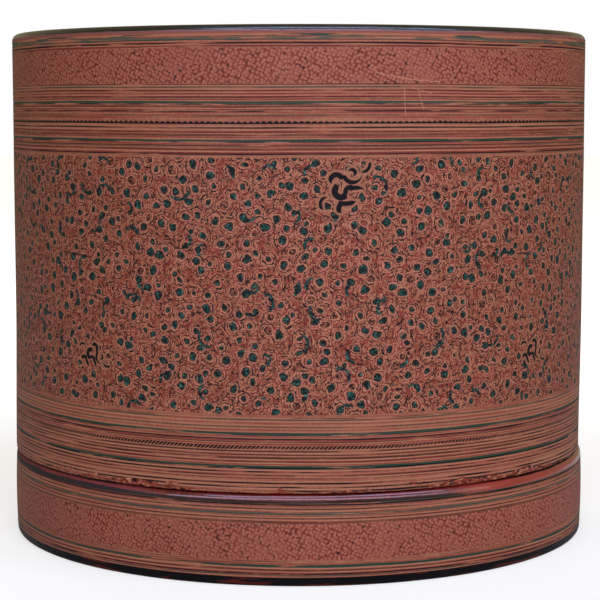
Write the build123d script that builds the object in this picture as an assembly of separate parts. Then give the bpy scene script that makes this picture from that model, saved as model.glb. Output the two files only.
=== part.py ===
from build123d import *
import os

# A round lacquered betel box of bamboo: a tall lid slides down over the body until it rests on the
# shoulder of the base collar, and two shallow trays stand one on the other in the mouth of the body.
# Millimetres, +Z up, with the origin at the centre of the foot on the table.

# Lid
lid_radius = 110.0
lid_wall_thickness = 3.0
lid_mouth_hoop_height = 4.5
lid_mouth_rounding = 0.4
lid_corner_hoop_height = 3.5
lid_corner_hoop_width = 3.2
lid_top_thickness = 3.6
lid_top_crown = 2.4
lid_top_rounding = 2.4
lid_headroom = 1.4            # air between the upper tray's rim and the hoop in the lid's corner

# Body
lid_clearance = 0.8           # air between the lid's bore and what stands inside it
body_height = 129.0           # table to the top of the body's rim
body_wall_thickness = 2.8
rim_hoop_height = 3.4
rim_rounding = 0.7
base_disc_thickness = 4.0

# Base collar and foot
foot_height = 3.2
foot_width = 17.0
foot_rounding = 1.3
collar_height = 32.0          # table to the ledge that the lid rests on
collar_stand_out = 0.35       # how far the collar's ends stand out past the lid
collar_belly = 0.3            # how far the collar's middle swells past its ends
collar_band_thickness = 2.2
shoulder_height = 3.2
shoulder_rounding = 2.2

# Trays
tray_clearance = 0.5          # air between a tray's plug and the bore that it drops into
tray_band_height = 26.0       # seat to rim, the part of a tray that shows when the lid is off
tray_step_thickness = 3.0
tray_plug_depth = 11.0
tray_plug_thickness = 2.2
tray_plug_rounding = 0.8
tray_floor_thickness = 3.0
tray_floor_recess = 1.0       # how far the floor sits up inside the plug's lower edge
tray_names = ("lower", "upper")

# Radii that follow, from the outside inwards
collar_radius = lid_radius + collar_stand_out
lid_bore = lid_radius - lid_wall_thickness
body_radius = lid_bore - lid_clearance
body_bore = body_radius - body_wall_thickness
plug_radius = body_bore - tray_clearance
plug_bore = plug_radius - tray_plug_thickness
collar_band_bore = collar_radius - collar_band_thickness
foot_bore = collar_radius - foot_width
corner_hoop_bore = lid_bore - lid_corner_hoop_width

# Heights that follow, from the table upwards
base_disc_top = foot_height + base_disc_thickness
collar_band_top = collar_height - shoulder_height
tray_stack_top = body_height + len(tray_names) * tray_band_height
corner_hoop_bottom = tray_stack_top + lid_headroom
lid_wall_top = corner_hoop_bottom + lid_corner_hoop_height
lid_edge_top = lid_wall_top + lid_top_thickness


def turned(profile):
    """The solid that a closed outline in the XZ plane makes when it is turned about the Z axis."""
    return revolve(make_face(profile), axis=Axis.Z)


def hoop(bore, radius, bottom, top):
    """A plain ring of rectangular section."""
    with BuildSketch(Plane.XZ) as section:
        with Locations(((bore + radius) / 2, (bottom + top) / 2)):
            Rectangle(radius - bore, top - bottom)
    return revolve(section.sketch, axis=Axis.Z)


def disc(radius, bottom, top):
    """A flat round plate."""
    return Pos(0, 0, bottom) * extrude(Circle(radius), top - bottom)


def circle_edges(solid, radius, height):
    """The round edges of one radius at one height."""
    tolerance = 1e-3
    return [
        edge
        for edge in solid.edges().filter_by(GeomType.CIRCLE)
        if abs(edge.radius - radius) < tolerance and abs(edge.arc_center.Z - height) < tolerance
    ]


def rounded(solid, rounding, *edges):
    """The solid with the round edges at these (radius, height) pairs taken off."""
    picked = [edge for radius, height in edges for edge in circle_edges(solid, radius, height)]
    return fillet(picked, rounding)


def rim_hoop(top):
    """The hoop that finishes the top edge of a wall, with both its top edges rounded."""
    plain = hoop(body_bore, body_radius, top - rim_hoop_height, top)
    return rounded(plain, rim_rounding, (body_bore, top), (body_radius, top))


def crown_line(reach, height):
    """The curve of the lid's crown, from the axis down to the given reach and height."""
    return Plane.XZ * TangentArc((0, height + lid_top_crown), (reach, height), tangent=(1, 0))


def lid_top_disc():
    """The lid's top, a slightly domed plate whose outer edge is the box's round shoulder."""
    flat_reach = lid_radius - lid_top_rounding
    upper_curve = crown_line(flat_reach, lid_edge_top)
    lower_curve = crown_line(corner_hoop_bore, lid_wall_top)
    shoulder = Plane.XZ * CenterArc(
        (flat_reach, lid_edge_top - lid_top_rounding), lid_top_rounding, 0, 90
    )
    straight = [
        Polyline(
            (lid_radius, 0, lid_edge_top - lid_top_rounding),
            (lid_radius, 0, lid_wall_top),
            (corner_hoop_bore, 0, lid_wall_top),
        ),
        Line((0, 0, lid_wall_top + lid_top_crown), (0, 0, lid_edge_top + lid_top_crown)),
    ]
    return turned([upper_curve, shoulder, lower_curve, *straight])


def lid_parts():
    """The four pieces that are glued and lacquered into the lid."""
    mouth_hoop = hoop(lid_bore, lid_radius, collar_height, collar_height + lid_mouth_hoop_height)
    return {
        "lid_top_disc": lid_top_disc(),
        "lid_corner_hoop": hoop(corner_hoop_bore, lid_bore, corner_hoop_bottom, lid_wall_top),
        "lid_wall": hoop(
            lid_bore, lid_radius, collar_height + lid_mouth_hoop_height, lid_wall_top
        ),
        "lid_mouth_hoop": rounded(
            mouth_hoop, lid_mouth_rounding, (lid_bore, collar_height), (lid_radius, collar_height)
        ),
    }


def collar_band():
    """The decorated skin of the collar, with a slight belly between its two ends."""
    middle = (foot_height + collar_band_top) / 2
    belly = ThreePointArc(
        (collar_radius, 0, foot_height),
        (collar_radius + collar_belly, 0, middle),
        (collar_radius, 0, collar_band_top),
    )
    back = Polyline(
        (collar_radius, 0, collar_band_top),
        (collar_band_bore, 0, collar_band_top),
        (collar_band_bore, 0, foot_height),
        (collar_radius, 0, foot_height),
    )
    return turned([belly, back])


def body_parts():
    """The body, with its floor, and the collar and foot that are built up round its lower end."""
    shoulder = hoop(body_radius, collar_radius, collar_band_top, collar_height)
    foot = hoop(foot_bore, collar_radius, 0, foot_height)
    return {
        "body_rim_hoop": rim_hoop(body_height),
        "body_wall": hoop(body_bore, body_radius, base_disc_top, body_height - rim_hoop_height),
        "base_disc": disc(body_radius, foot_height, base_disc_top),
        "collar_core": hoop(body_radius, collar_band_bore, foot_height, collar_band_top),
        "collar_band": collar_band(),
        "collar_shoulder": rounded(shoulder, shoulder_rounding, (collar_radius, collar_height)),
        "foot_ring": rounded(foot, foot_rounding, (collar_radius, 0)),
    }


def tray_parts(name, seat):
    """One tray: a band that carries on the body's wall, and a narrower plug that drops in below."""
    rim = seat + tray_band_height
    step_top = seat + tray_step_thickness
    plug_bottom = seat - tray_plug_depth
    floor_bottom = plug_bottom + tray_floor_recess
    plug = hoop(plug_bore, plug_radius, plug_bottom, seat)
    return {
        f"{name}_tray_rim_hoop": rim_hoop(rim),
        f"{name}_tray_band": hoop(body_bore, body_radius, step_top, rim - rim_hoop_height),
        f"{name}_tray_step": hoop(plug_bore, body_radius, seat, step_top),
        f"{name}_tray_plug": rounded(plug, tray_plug_rounding, (plug_radius, plug_bottom)),
        f"{name}_tray_floor": disc(plug_bore, floor_bottom, floor_bottom + tray_floor_thickness),
    }


def whole_box():
    """Every piece of the box at rest, by name."""
    pieces = {**lid_parts(), **body_parts()}
    for level, name in enumerate(tray_names):
        pieces.update(tray_parts(name, body_height + level * tray_band_height))
    return pieces


os.makedirs("parts", exist_ok=True)
for node, piece in whole_box().items():
    export_step(piece, f"parts/{node}.step")
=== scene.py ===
import bpy
import bmesh
import math
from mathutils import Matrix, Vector, noise


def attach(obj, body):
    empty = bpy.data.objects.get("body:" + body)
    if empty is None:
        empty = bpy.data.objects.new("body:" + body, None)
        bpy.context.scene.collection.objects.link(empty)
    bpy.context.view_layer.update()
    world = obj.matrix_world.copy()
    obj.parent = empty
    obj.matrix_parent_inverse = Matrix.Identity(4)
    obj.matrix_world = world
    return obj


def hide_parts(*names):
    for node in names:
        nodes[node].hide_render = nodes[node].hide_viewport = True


# A tall round betel box in engraved lacquer. Sizes in the dictionaries are millimetres; Blender's are metres.
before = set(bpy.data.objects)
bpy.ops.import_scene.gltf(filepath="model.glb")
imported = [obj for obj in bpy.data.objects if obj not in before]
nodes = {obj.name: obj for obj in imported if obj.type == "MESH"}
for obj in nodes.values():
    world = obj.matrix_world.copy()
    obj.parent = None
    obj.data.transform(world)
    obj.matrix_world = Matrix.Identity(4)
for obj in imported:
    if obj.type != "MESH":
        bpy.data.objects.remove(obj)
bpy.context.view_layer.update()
millimetre = 0.001
lidReach = 110.0                       # radius at which the lid's patterns are laid out
fullRound = 2 * math.pi * lidReach
print("frame loaded:", len(nodes), "nodes")


# Colours, as they look in the photograph's light

def paint(red, green, blue):
    def linear(value):
        value /= 255
        return value / 12.92 if value <= 0.04045 else ((value + 0.055) / 1.055) ** 2.4
    return (linear(red), linear(green), linear(blue), 1)


paints = {
    "salmon": paint(158, 102, 80),
    "rose": paint(140, 75, 60),
    "roseRing": paint(124, 74, 74),
    "pale": paint(178, 122, 98),
    "pink": paint(182, 120, 100),
    "scale": paint(164, 99, 83),
    "scaleRed": paint(126, 57, 46),
    "red": paint(128, 52, 38),
    "deepRed": paint(78, 24, 17),
    "crimson": paint(122, 38, 40),
    "brightRed": paint(152, 54, 48),
    "brown": paint(56, 25, 19),
    "black": paint(9, 8, 11),
    "teal": paint(27, 62, 55),
    "blueTeal": paint(68, 110, 100),
    "green": paint(38, 60, 49),
    "greyGreen": paint(84, 78, 66),
    "bareBamboo": paint(150, 122, 84),
}


# Small tools for building node trees

# Adds nodes to a tree and hands back the socket that carries the result
class Sheet:

    def __init__(self, tree):
        self.tree = tree

    def plug(self, value, socket):
        if isinstance(value, bpy.types.NodeSocket):
            self.tree.links.new(value, socket)
        else:
            socket.default_value = value

    def node(self, kind, values=(), **settings):
        node = self.tree.nodes.new(kind)
        for name, value in settings.items():
            setattr(node, name, value)
        for key, value in dict(values).items():
            self.plug(value, node.inputs[key])
        return node

    def calc(self, operation, *values, clamp=False):
        node = self.node("ShaderNodeMath", enumerate(values), operation=operation, use_clamp=clamp)
        return node.outputs[0]

    def vector(self, operation, *values):
        node = self.node("ShaderNodeVectorMath", operation=operation)
        for value, socket in zip(values, node.inputs):
            self.plug(value, socket)
        return node.outputs["Value" if operation in ("LENGTH", "DISTANCE", "DOT_PRODUCT") else "Vector"]

    def scaled(self, vector, amount):
        node = self.node("ShaderNodeVectorMath", operation="SCALE")
        self.plug(vector, node.inputs[0])
        self.plug(amount, node.inputs["Scale"])
        return node.outputs[0]

    def joined(self, x, y, z=0.0):
        return self.node("ShaderNodeCombineXYZ", {0: x, 1: y, 2: z}).outputs[0]

    def parts(self, vector):
        return self.node("ShaderNodeSeparateXYZ", {0: vector}).outputs

    # 0 below low, 1 above high, and a smooth step between them. With low above high it falls
    def ease(self, value, low, high):
        node = self.node("ShaderNodeMapRange", interpolation_type="SMOOTHSTEP")
        for index, given in enumerate((value, low, high, 0.0, 1.0)):
            self.plug(given, node.inputs[index])
        return node.outputs[0]

    def within(self, value, low, high, soft):
        inside = self.ease(value, low - soft, low + soft)
        return self.calc("MULTIPLY", inside, self.ease(value, high + soft, high - soft))

    def noise(self, vector, scale, detail=2.0, rough=0.5, depth=None):
        node = self.node("ShaderNodeTexNoise", noise_dimensions="3D" if depth is None else "4D")
        for key, given in {"Vector": vector, "Scale": scale, "Detail": detail, "Roughness": rough}.items():
            self.plug(given, node.inputs[key])
        if depth is not None:
            self.plug(depth, node.inputs["W"])
        return node.outputs

    def mix(self, amount, first, second, blend="MIX"):
        node = self.node("ShaderNodeMix", data_type="RGBA", blend_type=blend, clamp_factor=True)
        self.plug(amount, node.inputs[0])
        self.plug(first, node.inputs[6])
        self.plug(second, node.inputs[7])
        return node.outputs[2]

    def group(self, group, **values):
        node = self.node("ShaderNodeGroup", node_tree=group)
        for name, value in values.items():
            self.plug(value, node.inputs[name])
        return node.outputs


# An empty node group with float sockets, or of another kind where a pair says so
def newGroup(name, inputs, outputs):
    tree = bpy.data.node_groups.new(name, "ShaderNodeTree")
    for label, value in inputs.items():
        kind = "NodeSocketFloat" if isinstance(value, (int, float)) else "NodeSocketVector"
        if value == "colour":
            kind = "NodeSocketColor"
        socket = tree.interface.new_socket(label, in_out="INPUT", socket_type=kind)
        if kind == "NodeSocketFloat":
            socket.default_value = value
    for label, kind in outputs.items():
        tree.interface.new_socket(label, in_out="OUTPUT", socket_type="NodeSocket" + kind)
    sheet = Sheet(tree)
    given = sheet.node("NodeGroupInput").outputs
    made = sheet.node("NodeGroupOutput").inputs
    return sheet, given, made


# Effects that several lacquers share

# Where a point is on the box: millimetres round it from the front, up it and out from its axis. Sway and
# swell are what the hand did there: how a line wanders, and how thick it is cut. A pattern's two ends meet
# on a jagged line at the back.
def placesGroup():
    sheet, given, made = newGroup("placeOnBox", {}, {
        "Around": "Float", "Height": "Float", "Reach": "Float", "Place": "Vector", "Sway": "Float",
        "Swell": "Float"})
    place = sheet.scaled(sheet.node("ShaderNodeTexCoord").outputs["Object"], 1 / millimetre)
    x, y, z = sheet.parts(place)
    turn = sheet.calc("MULTIPLY", sheet.calc("ARCTAN2", x, sheet.calc("MULTIPLY", y, -1.0)), lidReach)
    sway = sheet.noise(place, 0.013, 1.0)["Fac"]
    stretched = sheet.vector("MULTIPLY", place, (0.045, 0.045, 0.85))
    swell = sheet.noise(stretched, 1.0, 3.0, 0.62)["Fac"]
    seam = sheet.calc("ADD", fullRound / 2 - 9, sheet.calc("MULTIPLY", swell, 16.0))
    past = sheet.calc("MULTIPLY", sheet.calc("GREATER_THAN", turn, seam), fullRound)
    sheet.plug(sheet.calc("SUBTRACT", turn, past), made["Around"])
    sheet.plug(z, made["Height"])
    sheet.plug(sheet.vector("LENGTH", sheet.joined(x, y)), made["Reach"])
    sheet.plug(place, made["Place"])
    sheet.plug(sheet.calc("SUBTRACT", sway, 0.5), made["Sway"])
    sheet.plug(swell, made["Swell"])
    return sheet.tree


# One engraved line at a height. It wanders a little, and shows only where its fill has stayed
def ringLineGroup():
    sheet, given, made = newGroup("ringLine", {
        "Height": 0.0, "Middle": 0.0, "Width": 0.5, "Cover": 0.9, "Sway": 0.0, "Swell": 0.5}, {"Mask": "Float"})
    height = sheet.calc("ADD", given["Height"], sheet.calc("MULTIPLY", given["Sway"], 1.1))
    apart = sheet.calc("ABSOLUTE", sheet.calc("SUBTRACT", height, given["Middle"]))
    half = sheet.calc("MULTIPLY", given["Width"], given["Swell"])
    body = sheet.ease(apart, sheet.calc("ADD", half, 0.13), sheet.calc("SUBTRACT", half, 0.16))
    edge = sheet.calc("SUBTRACT", 0.74, sheet.calc("MULTIPLY", given["Cover"], 0.46))
    stays = sheet.ease(given["Swell"], edge, sheet.calc("ADD", edge, 0.06))
    sheet.plug(sheet.calc("MULTIPLY", body, stays), made["Mask"])
    return sheet.tree


# Many thin engraved lines, each with its own width, place and breaks, and a painted highlight in pale along the ridges
# between them
def fineLinesGroup():
    sheet, given, made = newGroup("fineLines", {
        "Height": 0.0, "Pitch": 1.3, "Sway": 0.0, "Swell": 0.5}, {
            "Mask": "Float", "Hair": "Float", "RidgeHighlight": "Float", "Tone": "Float"})
    height = sheet.calc("ADD", given["Height"], sheet.calc("MULTIPLY", given["Sway"], 1.3))
    rows = sheet.calc("DIVIDE", height, given["Pitch"])
    row = sheet.calc("FLOOR", rows)
    chance = sheet.node("ShaderNodeTexWhiteNoise", {"W": row}, noise_dimensions="1D").outputs["Color"]
    shift, width, tone = sheet.parts(chance)
    middle = sheet.calc("ADD", 0.35, sheet.calc("MULTIPLY", shift, 0.3))
    apart = sheet.calc("MULTIPLY", sheet.calc("ABSOLUTE", sheet.calc(
        "SUBTRACT", sheet.calc("FRACT", rows), middle)), given["Pitch"])
    half = sheet.calc("MULTIPLY", sheet.calc("ADD", 0.1, sheet.calc("MULTIPLY", width, 0.3)), given["Swell"])
    body = sheet.ease(apart, sheet.calc("ADD", half, 0.11), sheet.calc("SUBTRACT", half, 0.08))
    stays = sheet.ease(given["Swell"], 0.37, 0.46)
    hair = sheet.ease(sheet.calc("ABSOLUTE", sheet.calc("SUBTRACT", sheet.calc("FRACT", sheet.calc(
        "MULTIPLY", height, 1.63)), 0.5)), 0.24, 0.08)
    finer = sheet.calc("MULTIPLY", hair, sheet.ease(given["Swell"], 0.6, 0.42))
    # Painted highlight: the ridge midway between two lines is marked for a pale tone
    ridge = sheet.ease(sheet.calc("MULTIPLY", apart, 1 / 1.2), 0.24, 0.42)
    sheet.plug(sheet.calc("MULTIPLY", body, stays), made["Mask"])
    sheet.plug(sheet.calc("MULTIPLY", finer, 0.7), made["Hair"])
    sheet.plug(sheet.calc("MULTIPLY", ridge, 0.5), made["RidgeHighlight"])
    sheet.plug(tone, made["Tone"])
    return sheet.tree


# A black line with a row of small humps along its top
def humpLineGroup():
    sheet, given, made = newGroup("humpLine", {
        "Around": 0.0, "Height": 0.0, "Middle": 0.0, "Pitch": 2.1, "Sway": 0.0, "Swell": 0.5}, {"Mask": "Float"})
    rise = sheet.calc("SUBTRACT", sheet.calc("ADD", given["Height"], sheet.calc("MULTIPLY", given["Sway"], 1.1)),
                      given["Middle"])
    turn = sheet.calc("MULTIPLY", sheet.calc("DIVIDE", given["Around"], given["Pitch"]), math.pi)
    hump = sheet.calc("ABSOLUTE", sheet.calc("SINE", turn))
    top = sheet.calc("MULTIPLY", hump, sheet.calc("ADD", -0.1, sheet.calc("MULTIPLY", given["Swell"], 1.3)))
    over = sheet.ease(sheet.calc("SUBTRACT", rise, top), 0.16, -0.1)
    under = sheet.ease(rise, -0.42, -0.28)
    sheet.plug(sheet.calc("MULTIPLY", over, under), made["Mask"])
    return sheet.tree


# A row of short black slanted strokes
def slantLineGroup():
    sheet, given, made = newGroup("slantLine", {
        "Around": 0.0, "Height": 0.0, "Middle": 0.0, "Pitch": 2.1, "Sway": 0.0, "Swell": 0.5}, {"Mask": "Float"})
    rise = sheet.calc("SUBTRACT", sheet.calc("ADD", given["Height"], sheet.calc("MULTIPLY", given["Sway"], 1.1)),
                      given["Middle"])
    along = sheet.calc("DIVIDE", sheet.calc("SUBTRACT", given["Around"], sheet.calc("MULTIPLY", rise, 1.1)),
                       given["Pitch"])
    stroke = sheet.within(sheet.calc("FRACT", along), 0.12, 0.8, 0.12)
    tall = sheet.calc("SUBTRACT", sheet.calc("MULTIPLY", given["Swell"], 1.4), 0.1)
    body = sheet.ease(sheet.calc("ABSOLUTE", rise), tall, sheet.calc("SUBTRACT", tall, 0.22))
    sheet.plug(sheet.calc("MULTIPLY", stroke, body), made["Mask"])
    return sheet.tree


# Tiny pale scales in slanting rows on red, each with a dark nick under one side
def scalesGroup():
    sheet, given, made = newGroup("scales", {"Across": 0.0, "Up": 0.0, "Place": Vector()}, {
        "Pale": "Float", "Nick": "Float", "Gap": "Float"})
    size = 1.28
    flat = sheet.scaled(sheet.joined(given["Across"], given["Up"]), 1 / size)
    turned = sheet.node("ShaderNodeVectorRotate", {"Vector": flat, "Angle": 0.45}, rotation_type="Z_AXIS").outputs[0]
    stir = sheet.noise(given["Place"], 0.42, 1.0)
    spot = sheet.vector("ADD", turned, sheet.scaled(sheet.vector("SUBTRACT", stir["Color"], (0.5, 0.5, 0.5)), 0.7))
    cell = sheet.node("ShaderNodeTexVoronoi", {"Vector": spot, "Scale": 1.0, "Randomness": 0.62},
                      voronoi_dimensions="2D")
    offset = sheet.vector("SUBTRACT", spot, cell.outputs["Position"])
    lean = sheet.vector("DOT_PRODUCT", offset, (0.35, -0.94, 0))
    away = sheet.calc("ADD", cell.outputs["Distance"], sheet.calc("MULTIPLY", lean, 0.16))
    tint = sheet.parts(cell.outputs["Color"])[0]
    fleck = sheet.noise(given["Place"], 1.05, 2.0, 0.7)["Fac"]
    shown = sheet.calc("ADD", 0.7, sheet.calc("MULTIPLY", tint, 0.3))
    faint = sheet.ease(sheet.noise(given["Place"], 0.11, 2.0)["Fac"], 0.42, 0.62)
    pale = sheet.calc("MULTIPLY", sheet.ease(away, 0.56, 0.2), shown)
    sheet.plug(sheet.calc("MAXIMUM", pale, sheet.calc("MULTIPLY", faint, 0.34)), made["Pale"])
    gap = sheet.ease(sheet.calc("ADD", away, sheet.calc("MULTIPLY", fleck, 0.3)), 0.58, 0.76)
    sheet.plug(gap, made["Gap"])
    patch = sheet.ease(stir["Fac"], 0.36, 0.52)
    sheet.plug(sheet.calc("MULTIPLY", sheet.calc("MULTIPLY", gap, patch), sheet.ease(fleck, 0.52, 0.58)),
               made["Nick"])
    return sheet.tree


# Small flecked dots packed at random, each inside its own broken ring cuts
def dotsGroup():
    sheet, given, made = newGroup("ringedDots", {"Across": 0.0, "Up": 0.0, "Place": Vector()}, {
        "Teal": "Float", "Glint": "Float", "Pale": "Float", "Cut": "Float", "Ink": "Float", "Past": "Float"})
    spread = 5.6
    place = given["Place"]
    flat = sheet.scaled(sheet.joined(given["Across"], given["Up"]), 1 / spread)
    turned = sheet.node("ShaderNodeVectorRotate", {"Vector": flat, "Angle": 0.54}, rotation_type="Z_AXIS").outputs[0]
    stir = sheet.vector("SUBTRACT", sheet.noise(place, 0.3, 3.0, 0.62)["Color"], (0.5, 0.5, 0.5))
    spot = sheet.vector("ADD", turned, sheet.scaled(stir, 0.5))
    cell = sheet.node("ShaderNodeTexVoronoi", {"Vector": spot, "Scale": 1.0, "Randomness": 0.7},
                      voronoi_dimensions="2D")
    away = sheet.calc("MULTIPLY", cell.outputs["Distance"], spread)
    first, second, third = sheet.parts(cell.outputs["Color"])
    turn = sheet.calc("MULTIPLY", first, 2 * math.pi)
    facing = sheet.joined(sheet.calc("COSINE", turn), sheet.calc("SINE", turn))
    outwards = sheet.vector("NORMALIZE", sheet.vector("SUBTRACT", spot, cell.outputs["Position"]))
    side = sheet.vector("DOT_PRODUCT", outwards, facing)
    grain = sheet.noise(place, 0.95, 2.0, 0.6)["Fac"]

    dot = sheet.calc("ADD", 0.62, sheet.calc("MULTIPLY", second, 0.7))
    past = sheet.calc("SUBTRACT", away, dot)
    body = sheet.ease(sheet.calc("ADD", past, sheet.calc("MULTIPLY", grain, 0.8)), 0.62, 0.3)
    filled = sheet.calc("MULTIPLY", body, sheet.calc("GREATER_THAN", third, 0.1))
    flecks = sheet.ease(sheet.noise(place, 1.2, 2.0, 0.6)["Fac"], 0.46, 0.53)
    sheet.plug(filled, made["Teal"])
    sheet.plug(sheet.ease(grain, 0.45, 0.33), made["Glint"])
    sheet.plug(past, made["Past"])

    def ringCut(reach, half, cover):
        off = sheet.calc("ABSOLUTE", sheet.calc("SUBTRACT", past, reach))
        return sheet.calc("MULTIPLY", sheet.ease(off, half + 0.12, half - 0.08), cover)

    turned = sheet.calc("ADD", sheet.calc("MULTIPLY", side, 0.16), grain)
    against = sheet.calc("SUBTRACT", grain, sheet.calc("MULTIPLY", side, 0.16))
    near = ringCut(0.2, 0.17, sheet.ease(turned, 0.42, 0.54))
    middle = ringCut(1.02, 0.15, sheet.ease(against, 0.47, 0.54))
    far = ringCut(1.85, 0.16, sheet.ease(turned, 0.47, 0.54))
    last = ringCut(2.7, 0.16, sheet.ease(against, 0.48, 0.54))
    outer = sheet.calc("MAXIMUM", far, last)
    sheet.plug(sheet.calc("MAXIMUM", middle, outer), made["Cut"])
    sheet.plug(sheet.calc("MAXIMUM", near, sheet.calc("MULTIPLY", body, flecks)), made["Ink"])
    paler = sheet.calc("MAXIMUM", ringCut(0.6, 0.16, 1.0), ringCut(1.4, 0.14, sheet.ease(grain, 0.6, 0.5)))
    paler = sheet.calc("MAXIMUM", paler, ringCut(2.25, 0.12, sheet.ease(grain, 0.56, 0.46)))
    sheet.plug(paler, made["Pale"])
    return sheet.tree


# Short curved strokes of teal, each with a notched dark edge
def hooksGroup():
    sheet, given, made = newGroup("hooks", {"Across": 0.0, "Up": 0.0, "Place": Vector()}, {
        "Teal": "Float", "Ink": "Float"})
    spread = 12.5
    flat = sheet.scaled(sheet.joined(given["Across"], given["Up"]), 1 / spread)
    cell = sheet.node("ShaderNodeTexVoronoi", {"Vector": flat, "Scale": 1.0, "Randomness": 0.9},
                      voronoi_dimensions="2D")
    first, second, third = sheet.parts(cell.outputs["Color"])
    own = sheet.calc("GREATER_THAN", third, 0.4)
    grain = sheet.noise(given["Place"], 0.8, 2.0, 0.6)["Fac"]
    away = sheet.calc("ADD", sheet.calc("MULTIPLY", cell.outputs["Distance"], spread),
                      sheet.calc("MULTIPLY", sheet.calc("SUBTRACT", grain, 0.5), 2.2))
    turn = sheet.calc("MULTIPLY", first, 2 * math.pi)
    facing = sheet.joined(sheet.calc("COSINE", turn), sheet.calc("SINE", turn))
    outwards = sheet.vector("NORMALIZE", sheet.vector("SUBTRACT", flat, cell.outputs["Position"]))
    side = sheet.vector("DOT_PRODUCT", outwards, facing)
    bow = sheet.calc("ADD", 1.8, sheet.calc("MULTIPLY", second, 1.8))
    off = sheet.calc("ABSOLUTE", sheet.calc("SUBTRACT", away, bow))
    stroke = sheet.calc("MULTIPLY", sheet.ease(side, 0.25, 0.5), own)
    sheet.plug(sheet.calc("MULTIPLY", sheet.ease(off, 0.62, 0.4), stroke), made["Teal"])
    edge = sheet.calc("MULTIPLY", sheet.ease(off, 0.9, 0.7), sheet.ease(grain, 0.5, 0.56))
    sheet.plug(sheet.calc("MULTIPLY", edge, stroke), made["Ink"])
    return sheet.tree


# Curled ticks of the engraver's point, packed between everything else
def ticksGroup():
    sheet, given, made = newGroup("ticks", {"Across": 0.0, "Up": 0.0, "Place": Vector()}, {
        "Tick": "Float", "Tone": "Float"})
    spread = 1.75
    flat = sheet.scaled(sheet.joined(given["Across"], given["Up"]), 1 / spread)
    stir = sheet.vector("SUBTRACT", sheet.noise(given["Place"], 0.5, 2.0)["Color"], (0.5, 0.5, 0.5))
    spot = sheet.vector("ADD", flat, sheet.scaled(stir, 0.8))
    cell = sheet.node("ShaderNodeTexVoronoi", {"Vector": spot, "Scale": 1.0, "Randomness": 1.0},
                      voronoi_dimensions="2D")
    first, second, third = sheet.parts(cell.outputs["Color"])
    turn = sheet.calc("MULTIPLY", first, 2 * math.pi)
    facing = sheet.joined(sheet.calc("COSINE", turn), sheet.calc("SINE", turn))
    outwards = sheet.vector("NORMALIZE", sheet.vector("SUBTRACT", spot, cell.outputs["Position"]))
    side = sheet.vector("DOT_PRODUCT", outwards, facing)
    away = sheet.calc("MULTIPLY", cell.outputs["Distance"], spread)
    bow = sheet.calc("ADD", 0.25, sheet.calc("MULTIPLY", second, 0.5))
    off = sheet.calc("ABSOLUTE", sheet.calc("SUBTRACT", away, bow))
    sheet.plug(sheet.calc("MULTIPLY", sheet.ease(off, 0.27, 0.1), sheet.ease(side, -0.2, 0.3)), made["Tick"])
    sheet.plug(third, made["Tone"])
    return sheet.tree


# A curled scroll of brush strokes, drawn as arcs that taper at one end or both
def scrollGroup():
    sheet, given, made = newGroup("scroll", {"Across": 0.0, "Up": 0.0, "Size": 8.0}, {
        "Ink": "Float", "Clear": "Float"})
    strokes = [  # middle across and up, radius, start and sweep in degrees, half thickness, two tapers
        (-0.21, 0.28, 0.225, 4, 216, 0.105, 12, 4),
        (0.45, 0.565, 0.367, 190, 160, 0.085, 12, 2),
        (-0.03, -0.14, 0.240, 112, 222, 0.125, 12, 12),
        (0.34, -0.17, 0.185, 60, 160, 0.095, 12, 12),
        (0.593, -0.93, 0.920, 68, 42, 0.090, 2, 12),
        (0.056, -0.82, 0.170, 95, 165, 0.100, 12, 3),
        (0.15, 0.45, 1.080, 254, 40, 0.095, 12, 4),
        (-0.56, -0.65, 0.280, 80, 155, 0.065, 3, 6),
        (0.395, 0.565, 0.140, -70, 230, 0.075, 3, 3),
        (0.80, 0.93, 0.330, 258, 117, 0.065, 3, 8),
    ]
    across = sheet.calc("DIVIDE", given["Across"], given["Size"])
    up = sheet.calc("DIVIDE", given["Up"], given["Size"])
    nearest = 9.0
    for middleAcross, middleUp, bow, start, sweep, thick, taperIn, taperOut in strokes:
        x = sheet.calc("SUBTRACT", across, middleAcross)
        y = sheet.calc("SUBTRACT", up, middleUp)
        away = sheet.vector("LENGTH", sheet.joined(x, y))
        turn = sheet.calc("SUBTRACT", sheet.calc("ARCTAN2", y, x), math.radians(start))
        along = sheet.calc("DIVIDE", sheet.calc("WRAP", turn, 2 * math.pi, 0.0), math.radians(sweep))
        opening = sheet.calc("MULTIPLY", along, float(taperIn))
        closing = sheet.calc("MULTIPLY", sheet.calc("SUBTRACT", 1.0, along), float(taperOut))
        share = sheet.calc("MINIMUM", sheet.calc("MINIMUM", opening, closing), 1.0)
        half = sheet.calc("MULTIPLY", share, thick)
        off = sheet.calc("SUBTRACT", sheet.calc("ABSOLUTE", sheet.calc("SUBTRACT", away, bow)), half)
        nearest = sheet.calc("MINIMUM", nearest, off)
    sheet.plug(sheet.ease(nearest, 0.012, -0.012), made["Ink"])
    sheet.plug(sheet.ease(nearest, 0.13, 0.08), made["Clear"])
    return sheet.tree


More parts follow.
